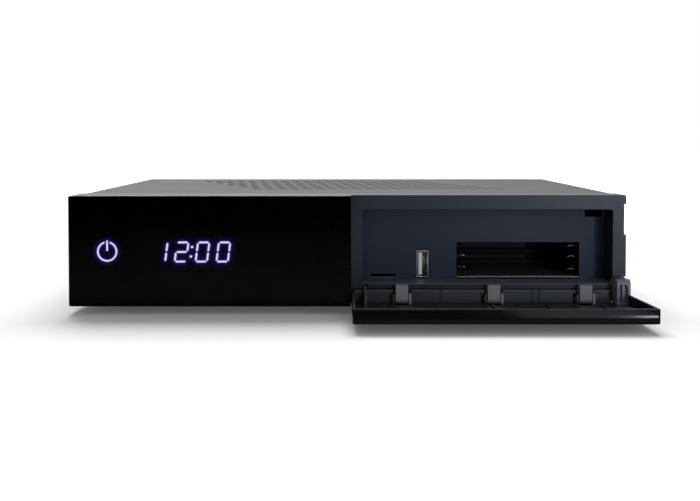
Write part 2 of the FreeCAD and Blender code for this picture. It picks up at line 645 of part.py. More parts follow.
switch = Piece("switch_body")
switch.add("y", R(15), rear_y, box(rocker_x - 6.6, rocker_z - 10.6, rocker_x + 6.6, rocker_z + 10.6))
switch.add("y", rear_y, rear_y + 1.6, box(rocker_x - 7.8, rocker_z - 12, rocker_x + 7.8, rocker_z + 12))
switch.cut("y", R(9), rear_y + 3,
           box(rocker_x - 5.0, rocker_z - rocker_half, rocker_x + 5.0, rocker_z + rocker_half))
switch.cut("x", rocker_x - 6.2, rocker_x + 6.2, disc(R(rocker_back), rocker_z, 1.05))
switch.round(0.6, along("z", ("y", rear_y + 1.6)))

rocker = Piece("power_rocker")
tilt = math.radians(8)


def rock(u, v):
    """A point u up and v out of the rocker's axis, with the lower half pressed in."""
    s, c = math.sin(tilt), math.cos(tilt)
    return (R(rocker_back) + u * s + v * c, rocker_z + u * c - v * s)


face = [rock(u, v) for u, v in ((-8.5, 5.9), (0, 4.6), (8.5, 5.9), (9, 1), (7, -2.2), (-7, -2.2), (-9, 1))]
rocker.add("x", rocker_x - 4.7, rocker_x + 4.7, face)
rocker.add("x", rocker_x - 6.0, rocker_x + 6.0, disc(R(rocker_back), rocker_z, 1.0))

blades = Piece("switch_blades")
blades.add("y", R(21), R(15), box(rocker_x - 2.4, rocker_z - 7, rocker_x + 2.4, rocker_z - 6.2),
           box(rocker_x - 2.4, rocker_z + 6.2, rocker_x + 2.4, rocker_z + 7))

# ---- Display side ----

module_back = 9.5
display_board = Piece("display_board")
display_board.add("y", D(module_back), D(module_back + 1.6), box(9 - half_w, H(8), S(-6), H(front_h - 8)))
bosses = Piece("display_spacers")
bosses.add("y", D(window_t + 2), D(module_back),
           *[disc(x, H(z), 2.2) for x in (12 - half_w, S(-9)) for z in (11, front_h - 11)])

clock = Piece("clock_display")
clock.add("y", D(window_t + 0.6), D(module_back), box(clock_l + 0.4, H(16), clock_r - 0.4, H(36.5)))

lit = Piece("clock_digits")
unlit = Piece("clock_digits_off")
seg = 0.9
digit_w = 6.4
digit_h = 10.2
lean = 0.13


def leaned(x, z, points):
    """Corners of a segment, leaned over to the right with height."""
    return [(x + a + b * lean, H(z + b)) for a, b in points]


def bar(x, z, a, b, length, upright):
    """A segment with pointed ends, along the digit's height or its width."""
    t = seg / 2
    line = [(0, 0), (t, t), (length - t, t), (length, 0), (length - t, -t), (t, -t)]
    if upright:
        line = [(-v, u) for u, v in line]
    return leaned(x, z, [(a + u, b + v) for u, v in line])


def segments(x, z):
    """The seven segments of one digit, a to g."""
    half = digit_h / 2 - seg / 2
    wide = digit_w - seg
    gap = 0.25
    low = seg / 2
    return {
        "a": bar(x, z, low + gap, low + 2 * half, wide - 2 * gap, False),
        "b": bar(x, z, low + wide, low + half + gap, half - 2 * gap, True),
        "c": bar(x, z, low + wide, low + gap, half - 2 * gap, True),
        "d": bar(x, z, low + gap, low, wide - 2 * gap, False),
        "e": bar(x, z, low, low + gap, half - 2 * gap, True),
        "f": bar(x, z, low, low + half + gap, half - 2 * gap, True),
        "g": bar(x, z, low + gap, low + half, wide - 2 * gap, False),
    }


for place, glow in ((0, "bc"), (1, "abged"), (2, "abcdef"), (3, "abcdef")):
    bars = segments(digit_x + digit_pitch * place, digit_z)
    lit.add("y", D(window_t + 0.2), D(window_t + 0.6), *[bars[key] for key in glow])
    unlit.add("y", D(window_t + 0.4), D(window_t + 0.6), *[bars[key] for key in "abcdefg" if key not in glow])
lit.add("y", D(window_t + 0.2), D(window_t + 0.6),
        *[leaned(digit_x + digit_pitch * 1.73, digit_z, box(0.1, z - 0.5, 1.1, z + 0.5)) for z in (2.9, 7.5)])

guide = Piece("symbol_light_guide")
guide.add("y", D(window_t + 0.6), D(module_back), disc(standby_x, H(standby_z), 6.0))
symbol = Piece("standby_symbol")
symbol.add("y", D(window_t + 0.2), D(window_t + 0.6), disc(standby_x, H(standby_z), 4.9),
           disc(standby_x, H(standby_z), 4.1))
symbol.cut("y", D(window_t), D(window_t + 1),
           box(standby_x - 1.3, H(standby_z + 1), standby_x + 1.3, H(standby_z + 6)))
symbol.add("y", D(window_t + 0.2), D(window_t + 0.6),
           box(standby_x - 0.4, H(standby_z + 0.4), standby_x + 0.4, H(standby_z + 5.3)))

eye = Piece("infrared_eye")
eye.add("y", D(window_t + 1.5), D(module_back), disc(eye_x, H(standby_z), 2.6))
eye.add("y", D(module_back - 2), D(module_back),
        box(eye_x - 4, H(standby_z - 4), eye_x + 4, H(standby_z + 4)))

ribbon = Piece("display_ribbon")
ribbon_x = S(-50)
back = module_back + 1.6
ribbon.add("x", ribbon_x, ribbon_x + 16,
           [(D(back), H(24)), (D(back + 6), H(24)), (D(back + 6), H(21.6)), (D(board_front + 10), H(21.6)),
            (D(board_front + 10), board_z), (D(board_front + 9.7), board_z), (D(board_front + 9.7), H(21.3)),
            (D(back + 5.7), H(21.3)), (D(back + 5.7), H(23.7)), (D(back), H(23.7))])
pan.cut("y", D(front_wall - 1), D(front_wall + 3), box(ribbon_x - 1, H(19.5), ribbon_x + 17, H(24)))

# ---- Bay sockets ----

usb_socket("front_usb", usb_x, True, H(usb_up), D(bay_d + 14.5), D(bay_d + 0.6), -1)
riser = Piece("front_usb_base")
riser.add("y", D(board_front), D(bay_d + 14.5), box(usb_x - 3, board_z, usb_x + 3, H(usb_up)))

reader = Piece("memory_card_reader")
reader.add("y", D(bay_d + 1.5), D(bay_d + 17), box(S(8), H(bay_low + 0.7), S(23), H(bay_low + 2.9)))
reader.cut("y", D(bay_d + 1), D(bay_d + 15), box(S(9.8), H(bay_low + 1.2), S(21.2), H(bay_low + 2.2)))
reader_base = Piece("card_reader_base")
reader_base.add("y", D(board_front), D(bay_d + 17), box(S(8), board_z, S(23), H(bay_low + 0.7)))

cage_back = bay_d + 62
cage = Piece("card_cage")
inner_l = card_l + 3.7
inner_r = card_l + card_w - 3.7
cage.add("y", D(bay_d + 1.5), D(cage_back),
         box(card_l - 1.2, board_z, card_l + card_w + 1.2, H(card_top + 1.2)))
cage.cut("y", D(bay_d + 1), D(cage_back - 8), box(card_l, H(card_low), card_l + card_w, H(card_top)))
for z in guide_z:
    cage.add("y", D(bay_d + 3.5), D(cage_back - 7.5), box(card_l - 0.2, H(z), inner_l, H(z + 0.5)),
             box(inner_r, H(z), card_l + card_w + 0.2, H(z + 0.5)))
header = Piece("card_header")
header.add("y", D(cage_back - 16), D(cage_back - 8),
           *[box(card_l + 8, H(bay_low + z), card_l + card_w - 8, H(bay_low + z + 3)) for z in (0.9, 6.7)])
header_pins = Piece("card_header_pins")
header_pins.add("y", D(cage_back - 20), D(cage_back - 16),
                box(card_l + 9.6, H(bay_low + 1.2), card_l + 10.2, H(bay_low + 1.8)))
header_pins.repeat(1, "x", 1.6, 27, "z", 5.8, 2)

# ---- Check and write every sub-part ----

doc.recompute()
os.makedirs("parts", exist_ok=True)
for body in pieces:
    if "Invalid" in body.State or "Error" in body.State or not body.Shape.isValid():
        raise ValueError(f"{body.Label} is not a valid solid: {body.State}")
    for thing in body.Group:
        if "Invalid" in thing.State or "Error" in thing.State:
            raise ValueError(f"{thing.Label} in {body.Label} has an error")
    body.Shape.exportStep(f"parts/{body.Label}.step")
print(len(pieces), "sub-parts written")
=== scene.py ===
"""Looks of a satellite TV receiver that stands with its flap open over the service bay.

Everything is in metres in the frame of the CAD model: +X to the right seen from the front, +Y to
the back, +Z up, with the rubber feet on Z = 0.
"""
import json
import math

import bmesh
import bpy
import numpy as np
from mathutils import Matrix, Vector


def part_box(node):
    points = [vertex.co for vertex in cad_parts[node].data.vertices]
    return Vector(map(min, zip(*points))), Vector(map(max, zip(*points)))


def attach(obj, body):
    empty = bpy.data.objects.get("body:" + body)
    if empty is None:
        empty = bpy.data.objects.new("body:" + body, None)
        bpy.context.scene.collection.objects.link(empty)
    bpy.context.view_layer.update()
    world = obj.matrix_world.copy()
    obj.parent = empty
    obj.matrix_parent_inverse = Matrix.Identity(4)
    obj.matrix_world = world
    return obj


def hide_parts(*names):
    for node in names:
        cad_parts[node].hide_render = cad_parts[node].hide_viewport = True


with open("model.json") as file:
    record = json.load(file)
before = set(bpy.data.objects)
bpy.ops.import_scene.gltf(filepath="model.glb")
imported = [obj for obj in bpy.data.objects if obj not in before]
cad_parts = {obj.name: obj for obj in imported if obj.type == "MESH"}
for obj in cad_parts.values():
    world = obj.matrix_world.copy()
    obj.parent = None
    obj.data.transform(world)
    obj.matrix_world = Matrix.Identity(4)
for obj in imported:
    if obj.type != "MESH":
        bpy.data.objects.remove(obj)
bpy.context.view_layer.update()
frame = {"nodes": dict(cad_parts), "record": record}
nodes = frame["nodes"]
record = frame["record"]
slot_of = {row["node"]: row["material_slot"] for row in record["subparts"]}
body_of = {node: body for body, held in record["behaviour"]["bodies"].items() for node in held}
MM = 0.001
TAU = 2 * math.pi

# ---- Places taken from the frame ----

front_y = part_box("display_window")[0].y
front_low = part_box("display_window")[0].z
rear_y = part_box("rear_panel")[1].y


# ---- Patches of painted highlight, where a finish is paler: a box's low corner, its high corner and the colour ----

flap_low, flap_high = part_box("flap_skin")
# Painted highlight: the top 0.2 mm of the flap skin is paler.
flap_lip_highlight = ((flap_low.x, flap_low.y, flap_high.z - 0.2 * MM), flap_high, (0.035, 0.037, 0.041))
# Painted highlight: a paler strip down the flap's left wall, 0.4 to 1.4 mm in from its end.
flap_end_highlight = ((flap_low.x + 0.4 * MM, flap_low.y + 2 * MM, flap_low.z + 3 * MM),
            (flap_low.x + 1.4 * MM, flap_high.y, flap_high.z), (0.05, 0.052, 0.055))
low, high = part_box("flap_liner")
# Painted highlight on the liner's gusset near its left end.
gusset_highlight = ((low.x + 4.7 * MM, low.y, low.z), (low.x + 6.3 * MM, high.y, high.z), (0.06, 0.063, 0.066))
# Painted highlight along the top edge of the liner's hinge rail.
rail_edge_highlight = ((low.x, high.y - 1.8 * MM, high.z - 2.65 * MM), (high.x, high.y, high.z - 2.0 * MM),
             (0.08, 0.083, 0.087))
low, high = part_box("bay_panel")
# Painted highlight: a paler line on the bezel along the front edge of the floor under the bay panel.
bay_floor_highlight = ((low.x + 1.5 * MM, front_y, low.z + 1.3 * MM), (high.x - 1.5 * MM, low.y, low.z + 1.6 * MM),
             (0.12, 0.125, 0.13))
low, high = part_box("memory_card_reader")
# Painted highlight: a paler line along the lower edge of the memory card slot.
slot_edge_highlight = ((low.x + 1.6 * MM, front_y, low.z - 0.1 * MM), (high.x - 1.6 * MM, high.y, low.z + 0.3 * MM),
             (0.065, 0.08, 0.105))
low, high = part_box("card_cage")
# Painted reflection: a paler line across the card cage's floor.
cage_floor_highlight = ((low.x, low.y, low.z + 2.8 * MM), (high.x, high.y, low.z + 3.3 * MM), (0.06, 0.063, 0.066))

# The flap's rim bulges from 4 mm below the flap to just under its top.
flap_rim = (flap_low.z - 4 * MM, flap_low.z + 8 * MM, 0.75 * MM)


# ---- Node graphs ----


class Finish:
    """A material on one Principled shader, with short calls for the nodes that its finish comes from."""

    def __init__(self, name, color, rough, metal=0.0, **sockets):
        self.material = bpy.data.materials.new(name)
        self.material.use_nodes = True
        self.tree = self.material.node_tree
        self.shader = self.tree.nodes["Principled BSDF"]
        self.color = color
        self.place = self.node("TexCoord").outputs["Object"]
        fixed = {"Base Color": (*color, 1.0), "Roughness": rough, "Metallic": metal}
        for key, value in {**fixed, **sockets}.items():
            self.feed(key.replace("_", " "), value)

    def node(self, kind, inputs=None, **settings):
        """A new node of a kind, with its inputs and settings."""
        made = self.tree.nodes.new("ShaderNode" + kind)
        for key, value in settings.items():
            setattr(made, key, value)
        for key, value in (inputs or {}).items():
            self.put(made.inputs[key], value)
        return made

    def put(self, socket, value):
        """Give a socket a value or a link."""
        if isinstance(value, bpy.types.NodeSocket):
            self.tree.links.new(value, socket)
        else:
            socket.default_value = value

    def feed(self, socket, value):
        """Give the shader's socket of that name a value or a link."""
        self.put(self.shader.inputs[socket], value)

    def noise(self, size, detail=2.0, stretch=(1, 1, 1)):
        """Cloudy noise whose blots are about size across, drawn out along the axes by stretch."""
        at = self.node("Mapping", {"Vector": self.place, "Scale": [1 / s for s in stretch]}).outputs[0]
        return self.node("TexNoise", {"Vector": at, "Scale": 1 / size, "Detail": detail}).outputs[0]

    def cells(self, size, output="Distance"):
        """Cells about size across: the distance from their middles, or one colour for each."""
        return self.node("TexVoronoi", {"Vector": self.place, "Scale": 1 / size}).outputs[output]

    def spread(self, value, low, high, to_low=0.0, to_high=1.0):
        """A value's range from low to high carried to another range."""
        keys = {"Value": value, "From Min": low, "From Max": high, "To Min": to_low, "To Max": to_high}
        return self.node("MapRange", keys).outputs[0]

    def join(self, a, b, operation="ADD"):
        """Two values added, or joined by another operation."""
        made = self.node("Math", operation=operation)
        self.put(made.inputs[0], a)
        self.put(made.inputs[1], b)
        return made.outputs[0]

    def shades(self, value, low, high):
        """A colour that goes from low to high as the value goes from 0 to 1."""
        made = self.node("Mix", data_type="RGBA")
        self.put(made.inputs["Factor"], value)
        self.put(made.inputs[6], (*low, 1.0) if isinstance(low, tuple) else low)
        self.put(made.inputs[7], (*high, 1.0) if isinstance(high, tuple) else high)
        return made.outputs[2]

    def scaled(self, factor):
        """The finish's own colour made lighter or darker."""
        return tuple(c * factor for c in self.color)

    def relief(self, height, depth):
        """Raise the surface by height times depth, over what relief it already has."""
        made = self.node("Bump", {"Height": height, "Distance": depth})
        old = self.shader.inputs["Normal"]
        if old.is_linked:
            self.put(made.inputs["Normal"], old.links[0].from_socket)
        self.feed("Normal", made.outputs[0])

    def paint_highlight(self, low, high, color):
        """Paint a highlight: a paler colour inside the box from the corner low to the corner high.

        The colour fades out within 0.2 mm of the box. The base colour has to be linked before.
        """
        fade = 0.2 * MM
        axes = self.node("SeparateXYZ", {0: self.place}).outputs
        inside = 1.0
        for axis, start, end in zip("XYZ", low, high):
            inside = self.join(inside, self.spread(axes[axis], start - fade, start), "MULTIPLY")
            inside = self.join(inside, self.spread(axes[axis], end, end + fade, 1.0, 0.0), "MULTIPLY")
        whole = self.shader.inputs["Base Color"].links[0].from_socket
        self.feed("Base Color", self.shades(inside, whole, color))


def powder_coat(name, color, rough, **sockets):
    """Semi-matt paint: fine orange peel over slow changes of sheen."""
    f = Finish(name, color, rough, **sockets)
    cloud = f.noise(40 * MM, 3)
    f.feed("Base Color", f.shades(cloud, f.scaled(0.94), f.scaled(1.06)))
    f.feed("Roughness", f.spread(cloud, 0.3, 0.7, rough - 0.03, rough + 0.03))
    f.relief(f.noise(0.5 * MM), 0.012 * MM)
    f.relief(f.noise(0.16 * MM), 0.006 * MM)
    return f.material


def moulded(name, color, rough, grain=0.22 * MM, painted_highlights=(), **sockets):
    """Plastic from an etched mould: even grain, with slow flow marks in its sheen and rubbed high spots.

    The listed patches are painted highlights, where it is paler.
    """
    f = Finish(name, color, rough, **sockets)
    flow = f.noise(28 * MM, 3, (3, 1, 1))
    fine = f.noise(grain, 3)
    rubbed = f.spread(fine, 0.55, 0.75)
    f.feed("Base Color", f.shades(rubbed, f.scaled(0.97), f.scaled(1.12)))
    f.feed("Roughness", f.spread(flow, 0.3, 0.7, rough - 0.04, rough + 0.05))
    f.relief(fine, 0.008 * MM)
    for patch in painted_highlights:
        f.paint_highlight(*patch)
    return f.material


def polished(name, color, rough, rim=None, painted_highlights=(), **sockets):
    """Glossy plastic: faint smudges in the sheen, and hair scratches.

    A rim of (low, high, bulge) stands out by bulge * (1 - ((2 z - low - high) / (high - low))^2), in the
    shading only. The listed patches are painted highlights, where the plastic is paler.
    """
    f = Finish(name, color, rough, **sockets)
    smudge = f.noise(22 * MM, 4, (1.6, 1, 1))
    hair = f.noise(0.5 * MM, 1, (60, 60, 1))
    marks = f.join(smudge, f.spread(hair, 0.68, 0.8, 0, 0.3))
    f.feed("Roughness", f.spread(marks, 0.35, 0.9, rough, rough + 0.09))
    f.feed("Base Color", f.shades(smudge, f.scaled(0.9), f.scaled(1.1)))
    f.relief(f.noise(9 * MM), 0.004 * MM)
    if rim:
        low, high, bulge = rim
        z = f.node("SeparateXYZ", {0: f.place}).outputs["Z"]
        across = f.spread(z, low, high, -1.0, 1.0)
        f.relief(f.join(1.0, f.join(across, across, "MULTIPLY"), "SUBTRACT"), bulge)
    for patch in painted_highlights:
        f.paint_highlight(*patch)
    return f.material


def zinc_sheet(name, color, rough):
    """Rolled zinc-plated steel: crystals of several greys, crossed by rolling streaks."""
    f = Finish(name, color, rough, metal=1.0)
    crystal = f.node("SeparateColor", {0: f.cells(6 * MM, output="Color")}).outputs[0]
    streak = f.noise(0.7 * MM, 2, (1, 50, 1))
    f.feed("Base Color", f.shades(crystal, f.scaled(0.82), f.scaled(1.08)))
    f.feed("Roughness", f.spread(f.join(crystal, streak), 0.2, 1.8, rough - 0.1, rough + 0.12))
    f.relief(streak, 0.004 * MM)
    return f.material


def drawn_metal(name, color, rough):
    """Bright drawn or stamped metal: fine lines, a few darker breaths of tarnish."""
    f = Finish(name, color, rough, metal=1.0)
    line = f.noise(0.12 * MM, 2, (1, 12, 1))
    breath = f.noise(3.5 * MM, 3)
    f.feed("Base Color", f.shades(f.spread(breath, 0.35, 0.75), f.color, f.scaled(0.72)))
    f.feed("Roughness", f.spread(line, 0.3, 0.7, rough - 0.06, rough + 0.1))
    f.relief(line, 0.002 * MM)
    return f.material


def soft_rubber(name, color, rough):
    """Matt rubber: pitted skin under a cloudy pale bloom."""
    f = Finish(name, color, rough)
    f.feed("Base Color", f.shades(f.noise(4 * MM, 4), f.scaled(0.8), f.scaled(1.5)))
    f.relief(f.cells(0.6 * MM), 0.02 * MM)
    return f.material


def circuit_board(name, color, rough):
    """Solder mask over copper tracks laid like bricks, with a round tinned pad in each cell of 3.2 mm."""
    f = Finish(name, color, rough)
    bricks = {"Vector": f.place, "Scale": 1 / (6 * MM), "Mortar Size": 0.012}
    track = f.node("TexBrick", bricks).outputs["Fac"]
    pad = f.spread(f.cells(3.2 * MM), 0.16, 0.19, 1.0, 0.0)
    mask = f.shades(track, f.color, f.scaled(1.7))
    f.feed("Base Color", f.shades(pad, mask, (0.62, 0.6, 0.55)))
    f.feed("Metallic", pad)
    f.relief(track, 0.03 * MM)
    return f.material


def lamp_glow(name, color, strength):
    """A lit segment: even light that thins a little in slow cloudy patches."""
    f = Finish(name, (0.02, 0.02, 0.03), 0.4)
    cloud = f.spread(f.noise(1.4 * MM, 2), 0.2, 0.8, 0.88, 1.1)
    f.feed("Emission Color", f.shades(cloud, tuple(c * 0.8 for c in color), color))
    f.feed("Emission Strength", strength)
    return f.material


def halo_light(name, color, strength):
    """Stray light round a lit segment: as clear as air where the glow attribute is 0."""
    f = Finish(name, (0.0, 0.0, 0.0), 1.0, Specular_IOR_Level=0.0)
    glow = f.node("Attribute", attribute_name="glow").outputs["Fac"]
    cloud = f.spread(f.noise(2.5 * MM, 2), 0.2, 0.8, 0.9, 1.1)
    f.feed("Alpha", f.join(glow, cloud, "MULTIPLY"))
    f.feed("Emission Color", (*color, 1.0))
    f.feed("Emission Strength", strength)
    return f.material


def smoked_acrylic(name, color, rough):
    """Dark clear acrylic that lets the lit display through and mirrors softly."""
    f = Finish(name, color, rough, Transmission_Weight=1.0, IOR=1.14)
    smudge = f.noise(26 * MM, 4, (1.5, 1, 1))
    f.feed("Base Color", f.shades(smudge, f.scaled(0.95), f.color))
    f.feed("Roughness", f.spread(smudge, 0.45, 0.8, rough, rough + 0.05))
    return f.material


def ribbon_stripes(name, color, rough):
    """A flat cable: pale sleeve over parallel wires that show as ridges."""
    f = Finish(name, color, rough)
    wires = f.node("TexWave", {"Vector": f.place, "Scale": 0.5 / MM}, bands_direction="X").outputs[1]
    f.feed("Base Color", f.shades(wires, f.scaled(0.7), f.scaled(1.05)))
    f.relief(wires, 0.15 * MM)
    return f.material


# The patches given to the bezel, bay, flap, liner and cage finishes are painted highlights.
finishes = {
    "cover_paint": powder_coat("cover powder coat", (0.025, 0.028, 0.029), 0.42, Specular_IOR_Level=0.26),
    "zinc_sheet": zinc_sheet("zinc-plated steel", (0.45, 0.45, 0.44), 0.38),
    "rear_paint": powder_coat("rear panel powder coat", (0.03, 0.03, 0.032), 0.5),
    # The bezel plastic is paler in a painted highlight along the floor under the bay.
    "bezel_plastic": moulded("bezel plastic", (0.009, 0.0155, 0.025), 0.33, painted_highlights=[bay_floor_highlight],
                             Specular_IOR_Level=0.4),
    "window_acrylic": smoked_acrylic("smoked window acrylic", (0.07, 0.07, 0.085), 0.03),
    # The bay plastic is paler in a painted highlight under the memory card slot.
    "bay_plastic": moulded("bay plastic", (0.0105, 0.021, 0.041), 0.42, painted_highlights=[slot_edge_highlight],
                           Specular_IOR_Level=0.28),
    "hook_plastic": moulded("hook plastic", (0.24, 0.235, 0.235), 0.42),
    # The flap's gloss is paler in painted highlights along its top edge and down its left end.
    "flap_gloss": polished("flap gloss black", (0.0042, 0.0042, 0.0042), 0.07, flap_rim,
                           painted_highlights=[flap_lip_highlight, flap_end_highlight], IOR=1.15),
    # The liner plastic is paler in painted highlights on the gusset and along the rail's top edge.
    "flap_matte": moulded("flap liner plastic", (0.0145, 0.0155, 0.0175), 0.4, painted_highlights=[rail_edge_highlight, gusset_highlight]),
    "pin_steel": drawn_metal("keeper steel", (0.15, 0.15, 0.155), 0.45),
    "rubber": soft_rubber("foot rubber", (0.02, 0.02, 0.02), 0.8),
    "screw_steel": drawn_metal("blackened screw steel", (0.12, 0.12, 0.125), 0.35),
    "board_green": circuit_board("circuit board", (0.012, 0.09, 0.035), 0.35),
    "chip_black": moulded("chip epoxy", (0.015, 0.015, 0.016), 0.55, grain=0.1 * MM),
    "sink_metal": drawn_metal("heatsink aluminium", (0.5, 0.5, 0.52), 0.35),
    "can_metal": drawn_metal("tinned steel", (0.6, 0.6, 0.58), 0.3),
    "brass_plate": drawn_metal("gilt contact", (0.72, 0.52, 0.2), 0.22),
    "nickel": drawn_metal("nickel plate", (0.62, 0.61, 0.58), 0.24),
    "socket_black": moulded("socket black", (0.012, 0.012, 0.013), 0.45),
    "socket_white": moulded("socket white", (0.7, 0.7, 0.68), 0.4, Subsurface_Weight=0.1),
    "glow_digit": lamp_glow("lit segment", (0.74, 0.7, 1.0), 17.0),
    "dark_segment": polished("unlit segment", (0.001, 0.001, 0.0015), 0.4),
    "phono_plastic": polished("socket ring plastic", (0.6, 0.55, 0.5), 0.25),
    "magnet_black": moulded("magnet ferrite", (0.02, 0.02, 0.022), 0.5),
}
arm_plastic = moulded("flap arm plastic", (0.18, 0.19, 0.215), 0.34)
module_black = moulded("display module black", (0.001, 0.001, 0.0012), 0.6)
# The cage plastic is paler in a line of painted reflection across its floor.
cage_black = moulded("card cage plastic", (0.006, 0.006, 0.0065), 0.4, painted_highlights=[cage_floor_highlight],
                     Specular_IOR_Level=0.12)
header_black = moulded("card header plastic", (0.002, 0.0022, 0.0027), 0.4, Specular_IOR_Level=0.08)
clip_tin = drawn_metal("card clip tin", (0.96, 0.96, 0.94), 0.5)
# The header pins are gilt; their almost black colour is painted shade, deep in the card slot.
header_pin = drawn_metal("header pin plate", (0.02, 0.019, 0.018), 0.45)
tongue_white = moulded("socket tongue white", (0.95, 0.95, 0.93), 0.4, Subsurface_Weight=0.2)
# The sill is a real lip; its pale colour is a painted highlight.
sill_highlight_plastic = moulded("card sill plastic", (0.25, 0.27, 0.3), 0.25)
own_finish = {
    "flap_arm": arm_plastic, "clock_display": module_black, "infrared_eye": module_black,
    "symbol_light_guide": module_black, "card_cage": cage_black, "card_header": header_black,
    "card_header_pins": header_pin, "front_usb_tongue": tongue_white, "memory_card_reader": header_black,
    "display_ribbon": ribbon_stripes("display ribbon", (0.5, 0.5, 0.48), 0.4),
}


def finish_of(node):
    """A CAD node's finish: its own, or the one of its material slot."""
    return own_finish.get(node, finishes[slot_of[node]])


for node in slot_of:
    mesh = nodes[node].data
    mesh.materials.clear()
    mesh.materials.append(finish_of(node))


# ---- Pieces ----


def piece(name, mesh, finish, body, slot, *stands_for):
    """Link a finished mesh as a piece that rides on a body and stands for CAD nodes."""
    mesh.materials.clear()
    mesh.materials.append(finish)
    made = bpy.data.objects.new(name, mesh)
    bpy.context.scene.collection.objects.link(made)
    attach(made, body)
    if stands_for:
        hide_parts(*stands_for)
    return made


def eased(node, width):
    """A merged copy of a CAD node whose edges sharper than 28 degrees are rounded over a width in mm."""
    sharp = math.radians(28)
    mesh = nodes[node].data.copy()
    work = bmesh.new()
    work.from_mesh(mesh)
    bmesh.ops.remove_doubles(work, verts=work.verts, dist=0.002 * MM)
    bmesh.ops.dissolve_limit(work, angle_limit=math.radians(0.5), verts=work.verts, edges=work.edges)
    work.to_mesh(mesh)
    work.free()
    mesh.shade_smooth()
    mesh.set_sharp_from_angle(angle=sharp)
    made = piece(node + "_eased", mesh, finish_of(node), body_of[node], slot_of[node], node)
    bevel = made.modifiers.new("broken edges", "BEVEL")
    bevel.width = width * MM
    bevel.segments = 2
    bevel.limit_method = "ANGLE"
    bevel.angle_limit = sharp
    bevel.use_clamp_overlap = False
    made.modifiers.new("flat faces", "WEIGHTED_NORMAL").keep_sharp = True
    return made


def surface(name, grids, finish, body, slot, *stands_for, wrap=True, glow=None):
    """A piece from copies of a grid: grids[c, i, j] are points, joined to their neighbours along i and j.

    With wrap the last j joins the first, and the form is merged at its poles and turned outwards. glow
    holds a value for each point, for the finishes that use it.
    """
    copies, rows, cols = grids.shape[:3]
    index = np.arange(copies * rows * cols).reshape(copies, rows, cols)
    if wrap:
        index = np.concatenate([index, index[:, :, :1]], 2)
    quads = np.stack([index[:, :-1, :-1], index[:, :-1, 1:], index[:, 1:, 1:], index[:, 1:, :-1]], -1)
    mesh = bpy.data.meshes.new(name)
    mesh.from_pydata(grids.reshape(-1, 3), [], quads.reshape(-1, 4))
    if glow is not None:
        mesh.attributes.new("glow", "FLOAT", "POINT").data.foreach_set("value", glow.ravel())
    if wrap:
        work = bmesh.new()
        work.from_mesh(mesh)
        bmesh.ops.remove_doubles(work, verts=work.verts, dist=0.0005 * MM)
        bmesh.ops.recalc_face_normals(work, faces=work.faces)
        work.to_mesh(mesh)
        work.free()
    mesh.shade_smooth()
    mesh.set_sharp_from_angle(angle=math.radians(35))
    return piece(name, mesh, finish, body, slot, *stands_for)


def turned(profile, centers, axis, steps=48, lift=None):
    """Grids of profiles turned about an axis through each centre.

    profile is rows of (radius, place along the axis) in mm. A point at angle t is the centre plus
    radius * (cos t, sin t) across the axis; lift(along, radius, angle) adds to the place along it.
    """
    r, a = np.asarray(profile, float).T[:, :, None]
    t = np.linspace(0, TAU, steps, endpoint=False)[None, :]
    along = a + 0 * t + (lift(a, r, t) if lift else 0)
    u, v = r * np.cos(t), r * np.sin(t)
    local = np.stack([u, along, v] if axis == "y" else [u, v, along], -1) * MM
    return np.asarray(centers, float)[:, None, None, :] + local[None]


def carried(path, section, centers=((0, 0, 0),), across=(1, 0, 0)):
    """Grids of a closed section carried along a path, with closed ends.

    path is rows of points in mm. At each of them the section's first coordinate runs along the
    across direction and its second along the path's normal, which is across x the path's direction.
    """
    path = np.asarray(path, float)
    way = np.gradient(path, axis=0)
    way /= np.linalg.norm(way, axis=1)[:, None]
    side = np.asarray(across, float)
    up = np.cross(side, way)
    up /= np.linalg.norm(up, axis=1)[:, None]
    s = np.asarray(section, float)
    rings = path[:, None] + s[None, :, :1] * side + s[None, :, 1:] * up[:, None]
    ends = [np.repeat(path[k][None, None], len(s), 1) for k in (0, -1)]
    local = np.concatenate([ends[0], rings, ends[1]]) * MM
    return np.asarray(centers, float)[:, None, None, :] + local[None]


def strip(half_w, half_t, steps=16, power=0.35):
    """A flat bar's section: a superellipse with half width and half thickness in mm."""
    t = np.linspace(0, TAU, steps, endpoint=False)
    c, s = np.cos(t), np.sin(t)
    return np.stack([half_w * np.sign(c) * abs(c) ** power, half_t * np.sign(s) * abs(s) ** power], -1)


easing = {
    "front_bezel": 0.1, "bay_panel": 0.2, "hinge_hooks": 0.12, "hinge_pins": 0.12, "flap_skin": 0.3,
    "flap_liner": 0.12, "top_cover": 0.15, "rear_panel": 0.08, "switch_body": 0.08,
    "power_rocker": 0.16, "network_jack": 0.15, "power_jack": 0.2, "phono_block": 0.12,
    "front_usb_shell": 0.1, "rear_usb_shell": 0.1, "front_usb_tongue": 0.15, "rear_usb_tongue": 0.15,
    "base_pan": 0.15, "card_cage": 0.12, "tuner_cans": 0.2, "processor": 0.25, "memory_chips": 0.15,
    "support_chips": 0.15, "inductors": 0.5, "heatsink": 0.15, "memory_card_reader": 0.1,
}
for node, width in easing.items():
    eased(node, width)


# Feet: a rubber puck with a hollow sole and a rounded rim.
foot_at = [(x, y, 0) for x in (-109 * MM, 109 * MM) for y in (front_y + 44 * MM, rear_y - 30 * MM)]
foot_profile = [(0, 0.8), (3.8, 0.8), (4.6, 0.6), (5.0, 0.1), (5.3, 0), (7.2, 0), (7.6, 0.15), (7.8, 0.5),
                (7.9, 2.4), (8.0, 4.2), (7.8, 4.4), (0, 4.4)]
surface("foot_pucks", turned(foot_profile, foot_at, "z", 56), finishes["rubber"], "chassis", "rubber",
        "rubber_feet")


